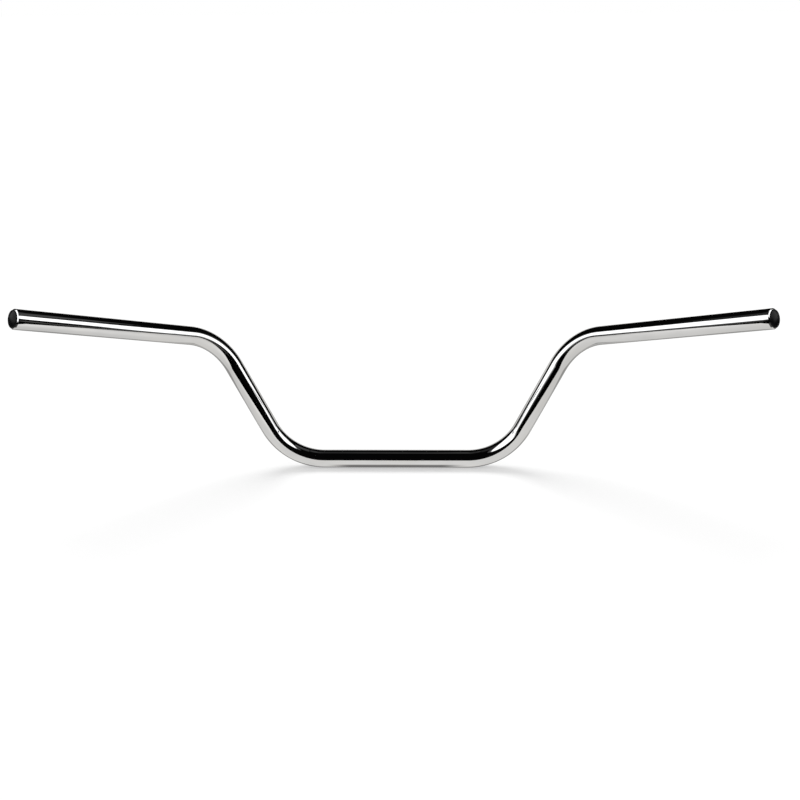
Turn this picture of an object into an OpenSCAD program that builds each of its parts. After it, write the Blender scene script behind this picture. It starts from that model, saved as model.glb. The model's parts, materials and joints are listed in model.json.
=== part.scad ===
// A chrome motorcycle handlebar: one bent steel tube and the plug in each of its ends.
// X runs along the clamp line to the bar's right-hand end, Z is up the risers, and the
// rider sits on the -Y side. The origin is the middle of the clamp line.

/* [Tube] */
// outside diameter of the tube
bar_od = 22.2; // [20:0.1:26]
// wall thickness of the tube
bar_wall = 2; // [1.6:0.1:2.4]
// centreline radius of the four bends
bend_r = 75; // [60:1:85]
// rounding of the tube's outer edge at each end
end_round = 1.3; // [0.5:0.1:1.4]

/* [Shape of the bar] */
// straight length at the centre, where the clamps hold the bar
clamp_w = 178; // [150:1:190]
// angle of the risers above the clamp line, seen from the front
riser_angle = 63.5; // [58:0.5:70]
// height at which the centrelines of a riser and its grip meet
knee_rise = 157; // [145:1:175]
// width between the centres of the two end faces
bar_w = 787; // [740:1:820]
// distance of the end faces behind the clamp line
pullback = 170; // [120:1:190]
// height of the end faces above the clamp line
end_rise = 229; // [200:1:250]

/* [End plugs] */
// diameter of the plug's head
head_d = 19.2; // [18.6:0.1:19.5]
// height of the head's straight rim
head_rim = 1.2; // [0.8:0.1:2]
// height of the dome above the rim
head_dome = 2.6; // [1:0.1:3.5]
// depth that the shank reaches into the tube
shank_l = 28; // [24:1:34]
// diameter of the shank between its ribs
shank_d = 15.6; // [14:0.1:16]
// wall thickness of the hollow shank
shank_wall = 2; // [1.2:0.1:2.4]
// number of ribs round the shank
rib_count = 5; // [3:1:6]
// distance from one rib to the next
rib_pitch = 4.6; // [4:0.1:5]
// thickness of each rib at its root
rib_w = 2; // [1:0.1:3]

/* [Hidden] */
$fn = 96;
chrome_colour = [0.8, 0.81, 0.83];
plastic_colour = [0.06, 0.06, 0.065];

tube_r = bar_od / 2;
bore_r = tube_r - bar_wall;

// the points where the centrelines of neighbouring straights meet, on the right-hand side
elbow = [clamp_w / 2 + bend_r * tan(riser_angle / 2), 0, 0];
knee = elbow + [knee_rise / tan(riser_angle), 0, knee_rise];
tip = [bar_w / 2, -pullback, end_rise];

riser_dir = (knee - elbow) / norm(knee - elbow);
grip_dir = (tip - knee) / norm(tip - knee);

// the second bend: its angle, and the turn about the riser that points it at the rider
knee_angle = acos(riser_dir * grip_dir);
inward_dir = [-riser_dir[2], 0, riser_dir[0]];
knee_turn = atan2(-grip_dir[1], grip_dir * inward_dir);

// The mandrel leaves the wall of a bend this much thicker than a straight's, outside and in:
// too little to see. The straights run this far on inside it, so that no two faces coincide.
bend_swell = 0.06;
lap = 0.5;

// what each bend takes off the straights on its two sides
elbow_cut = bend_r * tan(riser_angle / 2);
knee_cut = bend_r * tan(knee_angle / 2);
riser_l = norm(knee - elbow) - elbow_cut - knee_cut;
grip_l = norm(tip - knee) - knee_cut;

// the plug stands this far off the tube's end face, and its ribs this far off the bore
seat_gap = 0.05;
rib_gap = 0.05;
rib_r = bore_r - rib_gap;
rib_taper = 0.7;
first_rib = 5;
head_skin = 2.4;
slot_w = 2;
slot_l = 17;
lead_in = 1;

// the tube's cut section, thicker by extra on both its faces
module section(extra = 0) {
    difference() {
        circle(tube_r + extra);
        circle(bore_r - extra);
    }
}

// a straight of tube along +Z, with whatever follows it at its far end
module straight(length) {
    translate([0, 0, -lap])
        linear_extrude(length + 2 * lap) section();
    translate([0, 0, length]) children();
}

// a bend from +Z towards +X, with whatever follows it at its far end
module bend(angle) {
    translate([bend_r, 0, 0]) {
        rotate([90, 0, 180])
            rotate_extrude(angle = angle)
                translate([bend_r, 0]) section(bend_swell);
        rotate([0, angle, 0])
            translate([-bend_r, 0, 0]) children();
    }
}

// the bare end that a grip goes on, turned as one, with its outer edge rounded over
module grip_end(length) {
    rotate_extrude() difference() {
        translate([bore_r, -lap]) square([bar_wall, length + lap]);
        translate([tube_r - end_round, length - end_round])
            difference() {
                square(2 * end_round);
                circle(end_round);
            }
    }
}

// everything on the right of the clamp straight, in the order that a bender makes it
module bent_side() {
    translate([clamp_w / 2, 0, 0])
        rotate([0, 90, 0])
            rotate([0, 0, 180])
                bend(riser_angle)
                    straight(riser_l)
                        rotate([0, 0, knee_turn])
                            bend(knee_angle)
                                grip_end(grip_l);
}

module bar_tube() {
    color(chrome_colour) {
        rotate([0, 90, 0])
            linear_extrude(clamp_w + 2 * lap, center = true) section();
        bent_side();
        mirror([1, 0, 0]) bent_side();
    }
}

// moves a plug, drawn pointing along +Z, to the right-hand end face
module at_tip() {
    translate(tip)
        rotate([0, acos(grip_dir[2]), atan2(grip_dir[1], grip_dir[0])]) children();
}

// the head: a short rim under a shallow dome
module plug_head() {
    head_r = head_d / 2;
    dome_r = (head_r * head_r + head_dome * head_dome) / (2 * head_dome);
    top = seat_gap + head_rim + head_dome;
    intersection() {
        translate([0, 0, seat_gap]) cylinder(h = top - seat_gap, r = head_r);
        translate([0, 0, top - dome_r]) sphere(dome_r);
    }
}

// the hollow shank, with sloped ribs that slide in easily and hold on the way out
module plug_shank() {
    shank_r = shank_d / 2;
    body_l = shank_l - lead_in;
    translate([0, 0, -body_l])
        cylinder(h = body_l + seat_gap + head_rim, r = shank_r);
    translate([0, 0, -shank_l])
        cylinder(h = lead_in, r1 = shank_r - lead_in, r2 = shank_r);
    for (i = [0 : rib_count - 1])
        translate([0, 0, -first_rib - i * rib_pitch])
            cylinder(h = rib_w, r1 = rib_r - rib_taper, r2 = rib_r);
}

module plug() {
    core_r = shank_d / 2 - shank_wall;
    difference() {
        union() {
            plug_head();
            plug_shank();
        }
        translate([0, 0, -shank_l - 1])
            cylinder(h = shank_l + 1 - head_skin, r = core_r);
        for (a = [0, 90])
            rotate([0, 0, a])
                translate([-bar_od / 2, -slot_w / 2, -shank_l - 1])
                    cube([bar_od, slot_w, slot_l + 1]);
    }
}

module plug_right() {
    color(plastic_colour) at_tip() plug();
}

module plug_left() {
    color(plastic_colour) mirror([1, 0, 0]) at_tip() plug();
}

bar_tube();
plug_left();
plug_right();
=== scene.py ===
import json
import math
from collections import namedtuple
from functools import partial

import bpy
from mathutils import Matrix, Vector


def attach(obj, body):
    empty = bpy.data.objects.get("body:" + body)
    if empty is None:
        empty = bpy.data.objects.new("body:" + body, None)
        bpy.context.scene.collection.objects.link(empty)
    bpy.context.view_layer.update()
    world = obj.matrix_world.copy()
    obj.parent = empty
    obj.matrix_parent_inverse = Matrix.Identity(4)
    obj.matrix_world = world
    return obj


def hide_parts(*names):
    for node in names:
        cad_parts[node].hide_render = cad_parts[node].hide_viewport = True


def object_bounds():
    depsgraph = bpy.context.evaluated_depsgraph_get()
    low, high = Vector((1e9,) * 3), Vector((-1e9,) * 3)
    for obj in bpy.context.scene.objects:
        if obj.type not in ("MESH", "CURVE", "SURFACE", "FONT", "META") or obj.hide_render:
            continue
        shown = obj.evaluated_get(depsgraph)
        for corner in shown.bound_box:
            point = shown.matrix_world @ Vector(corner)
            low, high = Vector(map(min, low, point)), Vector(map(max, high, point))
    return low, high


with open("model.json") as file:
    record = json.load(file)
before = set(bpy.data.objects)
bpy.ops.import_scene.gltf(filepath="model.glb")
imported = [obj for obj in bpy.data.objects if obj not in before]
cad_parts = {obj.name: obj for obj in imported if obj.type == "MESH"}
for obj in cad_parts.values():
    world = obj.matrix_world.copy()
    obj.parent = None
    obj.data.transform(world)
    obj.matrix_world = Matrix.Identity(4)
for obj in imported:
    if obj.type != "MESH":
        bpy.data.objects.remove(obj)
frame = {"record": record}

cad_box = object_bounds()

# ---------------------------------------------------------------- sizes, in metres
MM = 0.001
mounts = {m["name"]: m for m in frame["record"]["mounts"]}
clamp_mount, grip_mount = mounts["bar_clamp"], mounts["grip_right"]
INSET_MM = 0.03             # the tube's skin lies this far inside the CAD tube's
TUBE_R = (clamp_mount["dims"]["r_mm"] - INSET_MM) * MM
CLAMP_W = clamp_mount["dims"]["length_mm"] * MM
GRIP_DIR = Vector(grip_mount["axis"]).normalized()
BORE_R = 9.1 * MM
BEND_R = 75.0 * MM
RISER_ANGLE = math.radians(63.5)    # from level
KNEE_RISE = 157.0 * MM      # from the clamp's line up to the corner that the upper bend rounds
END_ROUND = 1.3 * MM        # how much of the tube's length the rounding of its end takes

# the corners of the right-hand half of the centreline, which starts in the middle of the bar
middle = Vector((0, 0, 0))
elbow = Vector((CLAMP_W / 2 + BEND_R * math.tan(RISER_ANGLE / 2), 0, 0))
knee = elbow + Vector((KNEE_RISE / math.tan(RISER_ANGLE), 0, KNEE_RISE))
# the grip's mount runs from the bend to the start of the rounding, so the tip follows from it
tip = (Vector(grip_mount["pos_m"])
       + GRIP_DIR * (grip_mount["dims"]["length_mm"] * MM / 2 + END_ROUND))


# ---------------------------------------------------------------- mesh helpers
def new_mesh(name, verts, faces, slots=None, smooth=True):
    mesh = bpy.data.meshes.new(name)
    mesh.from_pydata([tuple(v) for v in verts], [], faces)
    for poly, slot in zip(mesh.polygons, slots or [0] * len(faces)):
        poly.material_index = slot
        poly.use_smooth = smooth
    mesh.validate()
    mesh.update()
    obj = bpy.data.objects.new(name, mesh)
    bpy.context.scene.collection.objects.link(obj)
    return obj


def keep_vectors(obj, name, vectors):
    """Gives each vertex a vector that materials read by its name."""
    layer = obj.data.attributes.new(name, "FLOAT_VECTOR", "POINT")
    layer.data.foreach_set("vector", [c for v in vectors for c in v])


def arc(before, corner, after, radius, steps):
    """Points and tangents of the arc that rounds a corner."""
    d0 = (corner - before).normalized()
    d1 = (after - corner).normalized()
    angle = d0.angle(d1)
    side = (d1 - d0 * d0.dot(d1)).normalized()
    start = corner - d0 * (radius * math.tan(angle / 2))
    out = []
    for i in range(steps + 1):
        a = angle * i / steps
        point = start + d0 * (radius * math.sin(a)) + side * (radius * (1 - math.cos(a)))
        out.append((point, d0 * math.cos(a) + side * math.sin(a)))
    return out


def straight(a, b, step):
    """Points between a and b, both left out, with the tangent."""
    count = max(1, round((b - a).length / step))
    tangent = (b - a).normalized()
    return [(a + (b - a) * (i / count), tangent) for i in range(1, count)]


FILLET_STEPS = 5
FILLET_REACH = 0.48         # the most of a side that the rounding of one of its corners takes


def rounded(corners):
    """The points of an outline given as (x, y, radius), with its corners rounded."""
    points = [Vector(corner[:2]) for corner in corners]
    out = []
    for i, (x, y, radius) in enumerate(corners):
        if radius == 0:
            out.append((x, y))
            continue
        before, corner, after = points[i - 1:i + 2]
        room = FILLET_REACH * min((corner - before).length, (after - corner).length)
        half_turn = (corner - before).angle(after - corner) / 2
        radius = min(radius, room / math.tan(half_turn))
        out += [tuple(p) for p, _ in arc(before, corner, after, radius, FILLET_STEPS)]
    return out


# ---------------------------------------------------------------- the bent tube
TUBE_SIDES = 128
STATION_STEP = 8.0 * MM
ELBOW_STEPS, KNEE_STEPS = 56, 50
LIP_START = 0.42 * MM       # how far past the last station the end's bevel starts
LIP_DROP = 0.06 * MM        # how much less the radius is there
LIP_PROUD = 0.02 * MM       # how much more it is at the bevel's end than on a 45 degree one
LIP_BLEND = 0.35 * MM       # the rounding of the bevel's two edges
BORE_EDGE = 0.25 * MM       # the rounding of the bore's edge
BORE_EDGE_STEPS = 4
CHROME_SLOT, BORE_SLOT = 0, 1

Station = namedtuple("Station", "point tangent up across run")


def centreline():
    """Stations of the right-hand half: place, tangent, the two cross directions, length so far."""
    low = arc(middle, elbow, knee, BEND_R, ELBOW_STEPS)
    high = arc(elbow, knee, tip, BEND_R, KNEE_STEPS)
    end = tip - GRIP_DIR * END_ROUND
    path = [(middle, Vector((1, 0, 0)))]
    path += straight(middle, low[0][0], STATION_STEP) + low
    path += straight(low[-1][0], high[0][0], STATION_STEP) + high
    path += straight(high[-1][0], end, STATION_STEP) + [(end, GRIP_DIR)]
    up, across, run = Vector((0, 0, 1)), Vector((0, 1, 0)), 0.0
    last_point, last_tangent = path[0]
    stations = []
    for point, tangent in path:
        turn = last_tangent.rotation_difference(tangent)
        up, across = turn @ up, turn @ across
        run += (point - last_point).length
        stations.append(Station(point, tangent, up, across, run))
        last_point, last_tangent = point, tangent
    return stations


def end_profile():
    """The tube's end, from the outside round to the bore: (distance past the last station, radius)."""
    profile = rounded([(0, TUBE_R, 0), (LIP_START, TUBE_R - LIP_DROP, LIP_BLEND),
                       (END_ROUND, TUBE_R - END_ROUND + LIP_PROUD, LIP_BLEND),
                       (END_ROUND, BORE_R + BORE_EDGE, 0)])
    for i in range(1, BORE_EDGE_STEPS + 1):
        a = math.pi / 2 * i / BORE_EDGE_STEPS
        profile.append((END_ROUND - BORE_EDGE * (1 - math.cos(a)),
                        BORE_R + BORE_EDGE * (1 - math.sin(a))))
    return profile[1:]


def ring(station, radius, ahead, mirror):
    """The vertices round one station, and where each was before the tube was bent."""
    bent, unbent = [], []
    for k in range(TUBE_SIDES):
        turn = 2 * math.pi * k / TUBE_SIDES
        spoke = station.up * math.cos(turn) + station.across * math.sin(turn)
        place = station.point + station.tangent * ahead + spoke * radius
        along = station.run + ahead
        if mirror:
            place.x, along = -place.x, -along
        bent.append(place)
        unbent.append((radius * math.cos(turn), radius * math.sin(turn), along))
    return bent, unbent


def half_rings(stations, mirror):
    """One half's rings from the middle outwards, on the outside and in the bore, and its end's."""
    outside = [ring(station, TUBE_R, 0, mirror) for station in stations]
    end = [ring(stations[-1], radius, ahead, mirror) for ahead, radius in end_profile()]
    bore = [ring(station, BORE_R, 0, mirror) for station in stations]
    return outside, end, bore


def build_tube():
    """One closed skin: along the outside, in at one end, back through the bore, out at the other."""
    stations = centreline()
    left_outside, left_end, left_bore = half_rings(stations, True)
    right_outside, right_end, right_bore = half_rings(stations, False)

    # each ring with the slot of the faces between it and the next
    loop = [(r, CHROME_SLOT) for r in left_outside[:0:-1] + right_outside + right_end[:-1]]
    loop += [(r, BORE_SLOT) for r in right_end[-1:] + right_bore[::-1] + left_bore[1:]]
    loop += [(r, CHROME_SLOT) for r in left_end[::-1]]

    faces, slots = [], []
    for i, (_, slot) in enumerate(loop):
        here, there = i * TUBE_SIDES, (i + 1) % len(loop) * TUBE_SIDES
        for k in range(TUBE_SIDES):
            m = (k + 1) % TUBE_SIDES
            faces.append((here + k, here + m, there + m, there + k))
            slots.append(slot)
    tube = new_mesh("bent_tube", [v for (bent, _), _ in loop for v in bent], faces, slots)
    keep_vectors(tube, "unbent", [v for (_, unbent), _ in loop for v in unbent])
    return tube


# ---------------------------------------------------------------- the end plugs
HEAD_R = 9.6 * MM
HEAD_RIM = 1.2 * MM
HEAD_DOME = 2.6 * MM
HEAD_ROUND = 0.55 * MM
HEAD_FOOT_ROUND = 0.25 * MM
DOME_STEPS = 14
SEAT = 0.05 * MM            # the gap between the head and the tube's end
SHANK_R = 7.8 * MM
SHANK_L = 28.0 * MM
SHANK_BEVEL = 1.0 * MM
BEVEL_ROUND = 0.5 * MM
SHANK_END_ROUND = 0.3 * MM
CORE_R = 5.8 * MM
CORE_ROUND = 0.6 * MM
CORE_FAN_R = 0.4 * MM       # inside this the core's roof is a fan of triangles
SKIN = 2.4 * MM             # how far below the tube's end the hollow core stops
RIBS = 5
RIB_R = BORE_R - 0.05 * MM
RIB_TAPER = 0.7 * MM
RIB_H = 2.0 * MM
RIB_PITCH = 4.6 * MM
FIRST_RIB = -5.0 * MM       # the lower edge of the rib nearest the head
RIB_ROOT_ROUND = 0.2 * MM
RIB_TIP_ROUND = 0.16 * MM
SLOTS = 4
SLOT_W = 2.0 * MM
SLOT_TOP = -11.0 * MM       # between the second rib and the third
SLOT_LEAST_R = 1.4 * SLOT_W / 2     # nearer the axis than this, the slot's columns converge
SLOT_COLS, WALL_COLS = 4, 18        # columns of faces across a slot, and between two slots
SHARP_ANGLE = math.radians(32)
TINY = 1e-9


def plug_profile():
    """(r, z) from the top of the dome, down the outside, round the foot and up the hollow core."""
    top = SEAT + HEAD_RIM + HEAD_DOME
    dome_r = (HEAD_R ** 2 + HEAD_DOME ** 2) / (2 * HEAD_DOME)
    reach = math.asin(HEAD_R / dome_r)
    corners = []
    for i in range(1, DOME_STEPS + 1):
        a = reach * i / DOME_STEPS
        corners.append((dome_r * math.sin(a), top - dome_r * (1 - math.cos(a)),
                        HEAD_ROUND if i == DOME_STEPS else 0))
    corners += [(HEAD_R, SEAT, HEAD_FOOT_ROUND), (SHANK_R, SEAT, 0)]
    for i in range(RIBS):
        low = FIRST_RIB - RIB_PITCH * i
        high = low + RIB_H
        if high < SLOT_TOP < high + RIB_PITCH - RIB_H:
            corners.append((SHANK_R, SLOT_TOP, 0))
        corners += [(SHANK_R, high, RIB_ROOT_ROUND), (RIB_R, high, RIB_TIP_ROUND),
                    (RIB_R - RIB_TAPER, low, RIB_TIP_ROUND), (SHANK_R, low, 0)]
    corners += [(SHANK_R, -SHANK_L + SHANK_BEVEL, BEVEL_ROUND),
                (SHANK_R - SHANK_BEVEL, -SHANK_L, SHANK_END_ROUND),
                (CORE_R, -SHANK_L, SHANK_END_ROUND), (CORE_R, SLOT_TOP, 0),
                (CORE_R, -SKIN, CORE_ROUND), (CORE_FAN_R, -SKIN, 0)]
    return rounded(corners)


def column_angles(r):
    """Where the columns of vertices stand at radius r, so that the slots have parallel walls."""
    half = math.asin(SLOT_W / 2 / max(r, SLOT_LEAST_R))
    step = 2 * math.pi / SLOTS
    angles = []
    for slot in range(SLOTS):
        centre = slot * step
        angles += [centre - half + 2 * half * i / SLOT_COLS for i in range(SLOT_COLS)]
        angles += [centre + half + (step - 2 * half) * i / WALL_COLS for i in range(WALL_COLS)]
    return angles


def plug_faces(profile, apex, roof):
    """The turned skin with its slots cut out, its two fans, and the slots' tops and walls."""
    span = SLOT_COLS + WALL_COLS
    cols = SLOTS * span
    rows = [i for i, (r, z) in enumerate(profile) if z <= SLOT_TOP + TINY]
    first, last, end = rows[0], rows[-1], len(profile) - 1

    def at(row, col):
        return row * cols + col % cols

    faces = []
    for i in range(end):
        for k in range(cols):
            in_slot = k % span < SLOT_COLS
            if not (in_slot and first <= i < last):
                faces.append((at(i, k), at(i + 1, k), at(i + 1, k + 1), at(i, k + 1)))
    for k in range(cols):
        faces.append((apex, at(0, k), at(0, k + 1)))
        faces.append((roof, at(end, k + 1), at(end, k)))
    for start in range(0, cols, span):
        for k in range(start, start + SLOT_COLS):
            faces.append((at(first, k), at(last, k), at(last, k + 1), at(first, k + 1)))
        faces.append(tuple(at(i, start) for i in rows))
        faces.append(tuple(at(i, start + SLOT_COLS) for i in reversed(rows)))
    return faces


def build_plug(name, mirror):
    """Turned about its own Z, where 0 is the tube's end, and then put in place."""
    profile = plug_profile()
    verts = [Vector((r * math.cos(a), r * math.sin(a), z))
             for r, z in profile for a in column_angles(r)]
    apex, roof = len(verts), len(verts) + 1
    verts += [Vector((0, 0, SEAT + HEAD_RIM + HEAD_DOME)), Vector((0, 0, -SKIN))]
    faces = plug_faces(profile, apex, roof)

    place = Matrix.Translation(tip) @ GRIP_DIR.to_track_quat("Z", "Y").to_matrix().to_4x4()
    if mirror:
        place = Matrix.Scale(-1, 4, (1, 0, 0)) @ place
        faces = [tuple(reversed(face)) for face in faces]
    plug = new_mesh(name, [place @ v for v in verts], faces)
    keep_vectors(plug, "moulded", verts)
    plug.data.set_sharp_from_angle(angle=SHARP_ANGLE)
    return plug


# ---------------------------------------------------------------- materials
class Nodes:
    """A shorthand for building node trees. Scales are per metre and distances are in metres."""

    def __init__(self, name):
        self.mat = bpy.data.materials.new(name)
        self.mat.use_nodes = True
        self.tree = self.mat.node_tree
        self.bsdf = self.tree.nodes["Principled BSDF"]
        self.out = self.tree.nodes["Material Output"]

    def add(self, kind, **props):
        node = self.tree.nodes.new(kind)
        for key, value in props.items():
            setattr(node, key, value)
        return node

    def link(self, a, b):
        self.tree.links.new(a, b)

    def vector(self, name):
        return self.add("ShaderNodeAttribute", attribute_type="GEOMETRY",
                        attribute_name=name).outputs["Vector"]

    def attribute(self, name, scale):
        """The named vector attribute, scaled along each of its axes."""
        node = self.add("ShaderNodeVectorMath", operation="MULTIPLY")
        node.inputs[1].default_value = scale
        self.link(self.vector(name), node.inputs[0])
        return node.outputs[0]

    def noise(self, vector, detail=2.0, rough=0.5, scale=1.0):
        node = self.add("ShaderNodeTexNoise")
        node.inputs["Scale"].default_value = scale
        node.inputs["Detail"].default_value = detail
        node.inputs["Roughness"].default_value = rough
        self.link(vector, node.inputs["Vector"])
        return node.outputs["Fac"]

    def spots(self, vector):
        """Distance to scattered points, one in each unit cube of the vector."""
        node = self.add("ShaderNodeTexVoronoi", feature="F1")
        node.inputs["Scale"].default_value = 1.0
        self.link(vector, node.inputs["Vector"])
        return node.outputs["Distance"]

    def ramp(self, value, lo, hi, to_lo=0.0, to_hi=1.0):
        """Goes smoothly from to_lo to to_hi as the value goes from lo to hi."""
        node = self.add("ShaderNodeMapRange", interpolation_type="SMOOTHSTEP")
        for i, v in enumerate((lo, hi, to_lo, to_hi)):
            node.inputs[i + 1].default_value = v
        self.link(value, node.inputs[0])
        return node.outputs[0]

    def fall(self, value, lo, hi):
        return self.ramp(value, lo, hi, 1.0, 0.0)

    def math(self, op, *values):
        node = self.add("ShaderNodeMath", operation=op)
        for i, v in enumerate(values):
            if isinstance(v, (int, float)):
                node.inputs[i].default_value = v
            else:
                self.link(v, node.inputs[i])
        return node.outputs[0]

    def plus(self, a, b):
        return self.math("ADD", a, b)

    def times(self, first, *others):
        for other in others:
            first = self.math("MULTIPLY", first, other)
        return first

    def mix(self, fac, a, b):
        """A colour between two colours."""
        node = self.add("ShaderNodeMix", data_type="RGBA")
        for socket, v in ((node.inputs[0], fac), (node.inputs[6], a), (node.inputs[7], b)):
            if isinstance(v, tuple):
                socket.default_value = (*v, 1.0)
            else:
                self.link(v, socket)
        return node.outputs[2]

    def bump(self, height, distance, after=None):
        node = self.add("ShaderNodeBump")
        node.inputs["Strength"].default_value = 1.0
        node.inputs["Distance"].default_value = distance
        self.link(height, node.inputs["Height"])
        if after is not None:
            self.link(after, node.inputs["Normal"])
        return node.outputs["Normal"]

    def finish(self, tone, rough, normal, **values):
        """Links the shader's three varying sockets and sets the even ones."""
        self.link(tone, self.bsdf.inputs["Base Color"])
        self.link(rough, self.bsdf.inputs["Roughness"])
        self.link(normal, self.bsdf.inputs["Normal"])
        for name, value in values.items():
            self.bsdf.inputs[name.replace("_", " ")].default_value = value
        return self.mat


def chrome_material():
    clean, hazy = (0.79, 0.795, 0.80), (0.72, 0.725, 0.73)
    warm, pitted = (0.80, 0.785, 0.755), (0.30, 0.27, 0.24)
    swell_height, line_height, pit_depth = 0.15 * MM, 0.00012 * MM, 0.01 * MM
    pit_rough = 0.35
    m = Nodes("chrome_plate")
    # slow swells that the polishing wheel leaves along the tube
    swell = m.noise(m.attribute("unbent", (60, 60, 22)), 1.5)
    # fine lines round the tube from polishing, haze in patches, and a few pits
    lines = m.noise(m.attribute("unbent", (90, 90, 5200)), 2.0, 0.6)
    haze = m.noise(m.attribute("unbent", (55, 55, 16)), 4.0, 0.6)
    pit = m.fall(m.spots(m.attribute("unbent", (70, 70, 70))), 0.010, 0.020)
    tone = m.mix(m.ramp(haze, 0.35, 0.7), clean, hazy)
    tone = m.mix(m.ramp(swell, 0.4, 0.7, 0.0, 0.35), tone, warm)
    tone = m.mix(pit, tone, pitted)
    rough = m.plus(m.ramp(haze, 0.40, 0.80, 0.030, 0.075), m.ramp(lines, 0.55, 0.8, 0.0, 0.03))
    rough = m.plus(rough, m.times(pit, pit_rough))
    normal = m.bump(swell, swell_height)
    normal = m.bump(lines, line_height, normal)
    normal = m.bump(m.times(pit, -1.0), pit_depth, normal)
    return m.finish(tone, rough, normal, Metallic=1.0)


def bore_material():
    light, dark, rusty = (0.30, 0.30, 0.30), (0.17, 0.165, 0.16), (0.16, 0.085, 0.045)
    grain_height, patch_height = 0.03 * MM, 0.15 * MM
    m = Nodes("bore_steel")
    # the grain is drawn out along the tube, as the mill leaves it
    grain = m.noise(m.attribute("unbent", (1400, 1400, 90)), 4.0, 0.6)
    patch = m.noise(m.attribute("unbent", (120, 120, 40)), 5.0, 0.6)
    rust = m.noise(m.attribute("unbent", (420, 420, 420)), 4.0, 0.65)
    tone = m.mix(m.ramp(patch, 0.3, 0.7), light, dark)
    tone = m.mix(m.ramp(rust, 0.60, 0.72, 0.0, 0.7), tone, rusty)
    rough = m.ramp(grain, 0.2, 0.8, 0.38, 0.62)
    normal = m.bump(patch, patch_height, m.bump(grain, grain_height))
    return m.finish(tone, rough, normal, Metallic=0.85)


def plastic_material():
    black, greyer, dusty = (0.0035, 0.0035, 0.004), (0.007, 0.007, 0.0075), (0.05, 0.049, 0.047)
    grain_height, speck_height = 0.012 * MM, 0.02 * MM
    speck_cover = 0.5
    m = Nodes("black_plastic")
    # moulded grain, smears from handling, and specks of dust
    grain = m.noise(m.attribute("moulded", (2600, 2600, 2600)), 3.0, 0.6)
    smear = m.noise(m.attribute("moulded", (160, 420, 160)), 3.0, 0.55)
    speck = m.fall(m.spots(m.attribute("moulded", (1500, 1500, 1500))), 0.05, 0.10)
    tone = m.mix(m.ramp(smear, 0.35, 0.7), black, greyer)
    tone = m.mix(m.times(speck, speck_cover), tone, dusty)
    rough = m.plus(m.ramp(smear, 0.35, 0.7, 0.24, 0.31), m.ramp(grain, 0.4, 0.8, 0.0, 0.04))
    normal = m.bump(speck, speck_height, m.bump(grain, grain_height))
    return m.finish(tone, rough, normal, IOR=1.45, Specular_IOR_Level=0.12)


tube = build_tube()
chrome, bore = chrome_material(), bore_material()
tube.data.materials.append(chrome)
tube.data.materials.append(bore)
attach(tube, "bar")
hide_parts("bar_tube")

plastic = plastic_material()
for side, mirror in (("left", True), ("right", False)):
    plug = build_plug("moulded_plug_" + side, mirror)
    plug.data.materials.append(plastic)
    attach(plug, side + "_plug")
    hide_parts("plug_" + side)


# ---------------------------------------------------------------- the studio
# The floor that the camera sees is plain. What the chrome reflects is a set of glowing sheets that
# nothing else sees: a softbox on each side, a faint glow above each, a ceiling, a backdrop, a table
# and the floor in front.
WHITE = (1.0, 1.0, 1.0)
PALE = (1.0, 0.985, 0.96)
FLOOR_Z = cad_box[0].z - 0.3 * MM
FLOOR_HALF = 40
FLOOR_GREY = (0.5, 0.5, 0.5, 1)
FLOOR_GLOW = 0.47
FRONT_FLOOR_LIFT, TABLE_LIFT = 0.05 * MM, 0.1 * MM


class Glow(Nodes):
    """An emission material whose strength comes from nodes."""

    def __init__(self, name, colour):
        super().__init__(name)
        self.tree.nodes.remove(self.bsdf)
        self.emission = self.add("ShaderNodeEmission")
        self.emission.inputs["Color"].default_value = (*colour, 1.0)
        self.link(self.emission.outputs[0], self.out.inputs["Surface"])
        self.mat.cycles.emission_sampling = "NONE"

    def place(self):
        """Where on the surface, in metres."""
        return self.add("ShaderNodeNewGeometry").outputs["Position"]

    def split(self, vector):
        """The first two of a vector's numbers."""
        node = self.add("ShaderNodeSeparateXYZ")
        self.link(vector, node.inputs[0])
        return node.outputs["X"], node.outputs["Y"]

    def distance(self, vector, point):
        node = self.add("ShaderNodeVectorMath", operation="DISTANCE")
        node.inputs[1].default_value = point
        self.link(vector, node.inputs[0])
        return node.outputs["Value"]

    def lit(self, strength):
        self.link(strength, self.emission.inputs["Strength"])
        return self.mat


def softbox_material(name, soft):
    """White in the middle, with soft edges and a faint halo round them."""
    core_level, halo_level = 1.6, 0.07
    m = Glow(name, WHITE)
    u, v = m.split(m.vector("across"))
    core = m.times(m.ramp(u, -0.06 * soft, 0.10 * soft), m.fall(u, 1 - 0.07 * soft, 1 + 0.04 * soft),
                   m.ramp(v, -0.06, 0.07), m.fall(v, 0.83, 0.99))
    halo = m.times(m.ramp(u, -0.16 * soft, -0.02), m.fall(u, 1 + 0.15 * soft, 1 + 0.35 * soft),
                   m.ramp(v, -0.14, 0.0), m.fall(v, 1.1, 1.3))
    return m.lit(m.plus(m.times(core, core_level), m.times(halo, halo_level)))


def overhead_glow_material():
    """The faint glow from a softbox's top to the ceiling, weaker on the left."""
    m = Glow("ceiling_glow", WHITE)
    u, v = m.split(m.vector("across"))
    x, _ = m.split(m.place())
    return m.lit(m.times(m.ramp(u, 0.0, 0.3), m.fall(u, 0.85, 1.0),
                         m.ramp(v, 0.0, 1.0, 0.08, 0.045), m.fall(v, 0.92, 1.0),
                         m.ramp(x, -0.5, 0.5, 0.35, 1.0)))


def ceiling_material():
    """A dim, uneven ceiling above the bar and behind it."""
    level = 0.052
    m = Glow("ceiling", WHITE)
    _, y = m.split(m.place())
    uneven = m.ramp(m.noise(m.place(), scale=3.2), 0.30, 0.62, 0.25, 1.0)
    return m.lit(m.times(uneven, level, m.ramp(y, 0.0, 0.25), m.fall(y, 0.95, 1.35)))


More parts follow.
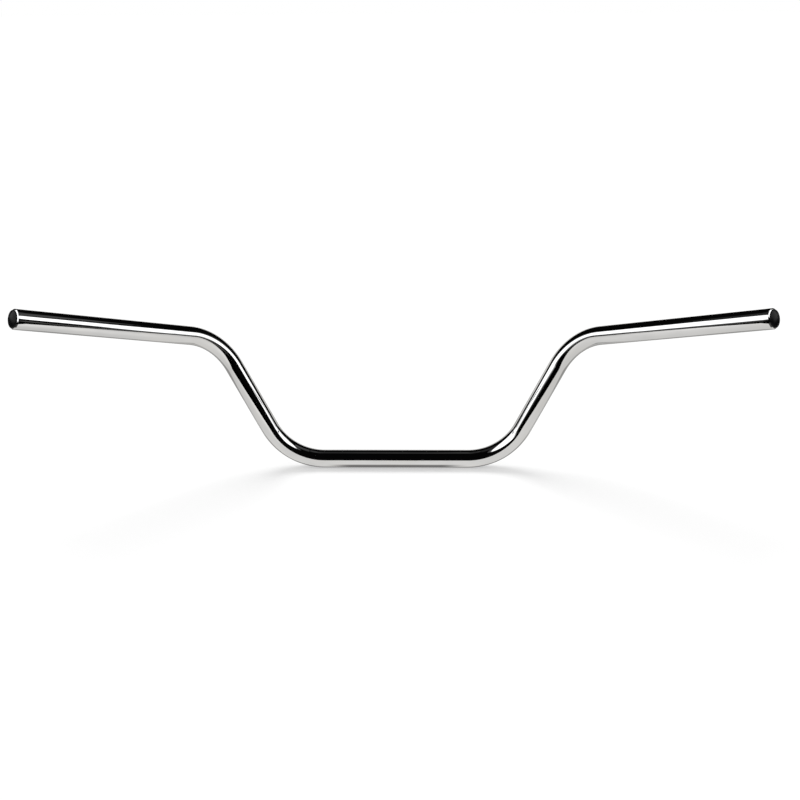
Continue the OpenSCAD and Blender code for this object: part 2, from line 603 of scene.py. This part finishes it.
def table_material():
    """A glowing sheet for the pale surface under the bar, with painted shade under the clamp section and
    a painted shadow that makes it darker behind the bar.
    """
    clamp_shade = 0.74
    painted_light_centre = (-0.17, -0.36, FLOOR_Z)
    m = Glow("table_reflected", PALE)
    x, y = m.split(m.place())
    wide = m.math("ABSOLUTE", x)
    # painted shade in a band under the clamp section
    under = m.times(m.fall(m.math("ABSOLUTE", y), 0.011, 0.016), m.fall(wide, 0.055, 0.092),
                    clamp_shade)
    shade = m.math("SUBTRACT", 1.0, under)
    # the narrow shadow where the bar touches, which thins out as the bar lifts off at the risers
    foot = m.plus(y, m.plus(m.ramp(wide, 0.105, 0.15, 0.009, 0.003),
                            m.ramp(wide, 0.18, 0.26, 0.0, -0.018)))
    touch = m.times(m.ramp(foot, 0.0, 0.006), m.fall(foot, 0.015, 0.045),
                    m.ramp(wide, 0.10, 0.17, 0.88, 0.60), m.ramp(wide, 0.17, 0.27, 1.0, 0.45))
    contact = m.math("SUBTRACT", 1.0, touch)
    # painted shadow of the bar: darker behind an edge that follows the bar as seen from above
    edge = m.plus(y, m.ramp(wide, 0.28, 0.39, -0.05, 0.07))
    behind = m.ramp(edge, -0.015, 0.03, 1.0, 0.54)
    # painted light: dimmer to the sides, with one brighter painted patch of light in front on the left
    level = m.ramp(wide, 0.0, 0.42, 0.82, 0.70)
    patch = m.ramp(m.distance(m.place(), painted_light_centre), 0.02, 0.28, 0.18, 0.0)
    return m.lit(m.times(m.math("MINIMUM", shade, contact), behind, m.plus(level, patch)))


def front_floor_material():
    """What little the floor in front gives back, at the two sides."""
    m = Glow("front_floor", PALE)
    x, y = m.split(m.place())
    wide = m.math("ABSOLUTE", x)
    return m.lit(m.times(m.ramp(wide, 0.30, 0.62), m.ramp(m.plus(wide, y), -0.15, 0.10),
                         m.ramp(x, -0.5, 0.5, 0.062, 0.088)))


def backdrop_material(level=0.74):
    m = Glow("backdrop", PALE)
    m.emission.inputs["Strength"].default_value = level
    return m.mat


def reflected_only(obj):
    """Seen in the chrome and the plastic, and by nothing else."""
    obj.visible_camera = False
    obj.visible_diffuse = False
    obj.visible_shadow = False
    obj.visible_transmission = False
    obj.visible_volume_scatter = False


def between(a, b, t):
    return a + (b - a) * t


def ease(t, lo, hi):
    """Goes smoothly from 0 to 1 as t goes from lo to hi."""
    t = min(1.0, max(0.0, (t - lo) / (hi - lo)))
    return t * t * (3 - 2 * t)


def sheet(name, cells, point, mat, lo=0.0, hi=1.0):
    """A square grid of points point(u, v), with u and v from lo to hi kept as its own coordinates."""
    side = cells + 1
    steps = [lo + (hi - lo) * i / cells for i in range(side)]
    own = [(u, v, 0.0) for v in steps for u in steps]
    faces = [(j * side + i, j * side + i + 1, (j + 1) * side + i + 1, (j + 1) * side + i)
             for j in range(cells) for i in range(cells)]
    obj = new_mesh(name, [point(u, v) for u, v, _ in own], faces, smooth=False)
    keep_vectors(obj, "across", own)
    obj.data.materials.append(mat)
    reflected_only(obj)


def flat(u, v, half, front, back, z):
    """A point of a level rectangle: u goes from left to right, v from front to back."""
    return Vector((between(-half, half, u), between(front, back, v), z))


# side is 1 on the right and -1 on the left. front and far are the y of its upright edges at the foot,
# far_top is far at the top, and flare is how much further forward the front edge goes on its way up.
# cut is taken off the far edge near the top. top is the height of the front edge's upper end, bow says
# how the upper edge curves down from there to the far edge, and soft scales the blur of the sides.
Softbox = namedtuple("Softbox", "name side front flare far far_top cut top bow soft")
SOFTBOXES = (
    Softbox("right", 1, front=-0.48, flare=0.76, far=0.20, far_top=0.20, cut=0.26,
            top=1.95, bow=2.2, soft=1.0),
    Softbox("left", -1, front=-2.0, flare=0.0, far=0.16, far_top=0.29, cut=0.16,
            top=2.25, bow=2.5, soft=0.37),
)
BOX_X = 1.2
BOX_CELLS = 24
BOX_MARGIN = 0.4            # the sheet goes on past the softbox by this part of it, for the halo
BOX_FLARE_V = (0.08, 0.5)   # the part of the way up over which the front edge flares
BOX_CUT_V = (0.6, 0.9)      # and over which the far edge is cut back
BOX_FOOT_Y = (-0.6, 0.2)    # the foot is level up to the first of these, then a rising line
BOX_FOOT_Z = (0.19, 0.32)   # its height at each of the two
LEFT_FOOT_LIFT = 0.16       # how much higher the left softbox's foot is at the front
LEFT_LIFT_Y = (-0.68, -0.95)    # where that starts and where all of it is reached
BOX_FAR_Z = 1.38            # the height of the far edge's upper end
BOX_BOW_END = 1.1           # the upper edge is level past this part of its length
GLOW_CELLS = 4
CEILING_CELLS = 8
# the lower and the upper edge of the glow on each side
Edge = namedtuple("Edge", "x front back z")
GLOW_LOW = Edge(1.22, -0.30, 0.75, 1.62)
GLOW_HIGH = Edge(0.60, -0.45, 1.35, 2.39)


def softbox_point(u, v, box):
    """u goes from the front edge to the far edge, v from the foot to the top."""
    front = box.front - box.flare * ease(v, *BOX_FLARE_V)
    far = between(box.far, box.far_top, v) - box.cut * ease(v, *BOX_CUT_V)
    y = between(front, far, u)
    foot = between(*BOX_FOOT_Z, max(0.0, (y - BOX_FOOT_Y[0]) / (BOX_FOOT_Y[1] - BOX_FOOT_Y[0])))
    if box.side < 0:
        foot += LEFT_FOOT_LIFT * ease(y, *LEFT_LIFT_Y)
    top = between(box.top, BOX_FAR_Z, min(max(u, 0.0), BOX_BOW_END) ** box.bow)
    return Vector((BOX_X * box.side, y, between(foot, top, v)))


def overhead_glow_point(u, v, side):
    """u goes from front to back, v from beside the softbox's top to the ceiling."""
    low, high = (Vector((edge.x * side, between(edge.front, edge.back, u), edge.z))
                 for edge in (GLOW_LOW, GLOW_HIGH))
    return between(low, high, v)


def build_reflected_studio():
    glow = overhead_glow_material()
    for box in SOFTBOXES:
        sheet("softbox_" + box.name, BOX_CELLS, partial(softbox_point, box=box),
              softbox_material("softbox_" + box.name, box.soft), -BOX_MARGIN, 1 + BOX_MARGIN)
        sheet("glow_" + box.name, GLOW_CELLS, partial(overhead_glow_point, side=box.side), glow)
    sheet("ceiling", CEILING_CELLS, partial(flat, half=0.6, front=0.0, back=1.4, z=2.4),
          ceiling_material())
    sheet("table_top", 1, partial(flat, half=0.8, front=-0.33, back=1.61, z=FLOOR_Z + TABLE_LIFT),
          table_material())
    sheet("front_floor", 1, partial(flat, half=3.0, front=-3.0, back=-0.30, z=FLOOR_Z + FRONT_FLOOR_LIFT),
          front_floor_material())


def build_backdrop():
    """A wall behind the bar, lower to the right."""
    half, y = 2.6, 1.6
    foot = [(-half, FLOOR_Z), (half, FLOOR_Z)]
    # its upper edge, from right to left
    top = [(half, 0.22), (0.7, 0.26), (0.25, 0.50), (-0.25, 0.50), (-1.0, 0.40), (-half, 0.50)]
    outline = [(x, y, z) for x, z in foot + top]
    wall = new_mesh("backdrop", outline, [tuple(range(len(outline)))], smooth=False)
    wall.data.materials.append(backdrop_material())
    reflected_only(wall)


def build_floor():
    """The pale floor that the camera sees. It glows a little, which keeps the shadows faint."""
    corners = [(x * FLOOR_HALF, y * FLOOR_HALF, FLOOR_Z) for x, y in ((-1, -1), (1, -1), (1, 1), (-1, 1))]
    floor = new_mesh("studio_floor", corners, [(0, 1, 2, 3)], smooth=False)
    mat = bpy.data.materials.new("floor_white")
    mat.use_nodes = True
    mat.cycles.emission_sampling = "NONE"
    inputs = mat.node_tree.nodes["Principled BSDF"].inputs
    inputs["Base Color"].default_value = FLOOR_GREY
    inputs["Roughness"].default_value = 1.0
    inputs["Specular IOR Level"].default_value = 0.0
    inputs["Emission Color"].default_value = (*WHITE, 1)
    inputs["Emission Strength"].default_value = FLOOR_GLOW
    floor.data.materials.append(mat)
    floor.visible_glossy = False


def build_world(seen=1.0, ambient=0.62, reflected=0.002):
    """White to the camera, soft light all round, and nearly black in reflections."""
    world = bpy.data.worlds.new("studio")
    bpy.context.scene.world = world
    world.use_nodes = True
    world.cycles.sampling_method = "NONE"
    tree = world.node_tree
    tree.nodes.clear()
    out = tree.nodes.new("ShaderNodeOutputWorld")
    paths = tree.nodes.new("ShaderNodeLightPath")

    def sky(strength):
        node = tree.nodes.new("ShaderNodeBackground")
        node.inputs["Color"].default_value = (*WHITE, 1)
        node.inputs["Strength"].default_value = strength
        return node.outputs[0]

    def choose(ray, otherwise, chosen):
        node = tree.nodes.new("ShaderNodeMixShader")
        for socket, source in zip(node.inputs, (paths.outputs[ray], otherwise, chosen)):
            tree.links.new(source, socket)
        return node.outputs[0]

    light = choose("Is Glossy Ray", sky(ambient), sky(reflected))
    tree.links.new(choose("Is Camera Ray", light, sky(seen)), out.inputs["Surface"])


def add_object(name, data, rotation):
    """A light or camera in the scene, turned by a quaternion."""
    obj = bpy.data.objects.new(name, data)
    obj.rotation_mode = "QUATERNION"
    obj.rotation_quaternion = rotation
    bpy.context.scene.collection.objects.link(obj)
    return obj


def build_sun(energy=1.85, spread=math.radians(32), direction=(0.16, -0.42, -1.0)):
    """A wide soft key light from above and a little behind, which the chrome doesn't mirror."""
    data = bpy.data.lights.new("soft_key", "SUN")
    data.energy = energy
    data.angle = spread
    sun = add_object("soft_key", data, Vector(direction).to_track_quat("-Z", "Y"))
    sun.visible_glossy = False


# ---------------------------------------------------------------- camera and colours
CAMERA_AT = (0.02997, -1.26866, 0.54048)
CAMERA_RIGHT = Vector((0.99983, 0.01745, -0.00563))
CAMERA_LOOK = Vector((-0.01832, 0.93933, -0.34252))
LENS_MM, SENSOR_MM = 49.6, 36.0
CLIP_NEAR, CLIP_FAR = 0.05, 200


def build_camera():
    data = bpy.data.cameras.new("camera")
    data.sensor_width = SENSOR_MM
    data.lens = LENS_MM
    data.clip_start, data.clip_end = CLIP_NEAR, CLIP_FAR
    # the camera's own X, Y and Z: it looks along its -Z
    axes = (CAMERA_RIGHT, CAMERA_RIGHT.cross(CAMERA_LOOK), -CAMERA_LOOK)
    camera = add_object("camera", data, Matrix(axes).transposed().to_quaternion())
    camera.location = CAMERA_AT
    bpy.context.scene.camera = camera


build_reflected_studio()
build_backdrop()
build_floor()
build_world()
build_sun()
build_camera()
bpy.context.scene.view_settings.view_transform = "Standard"
bpy.context.scene.view_settings.look = "None"
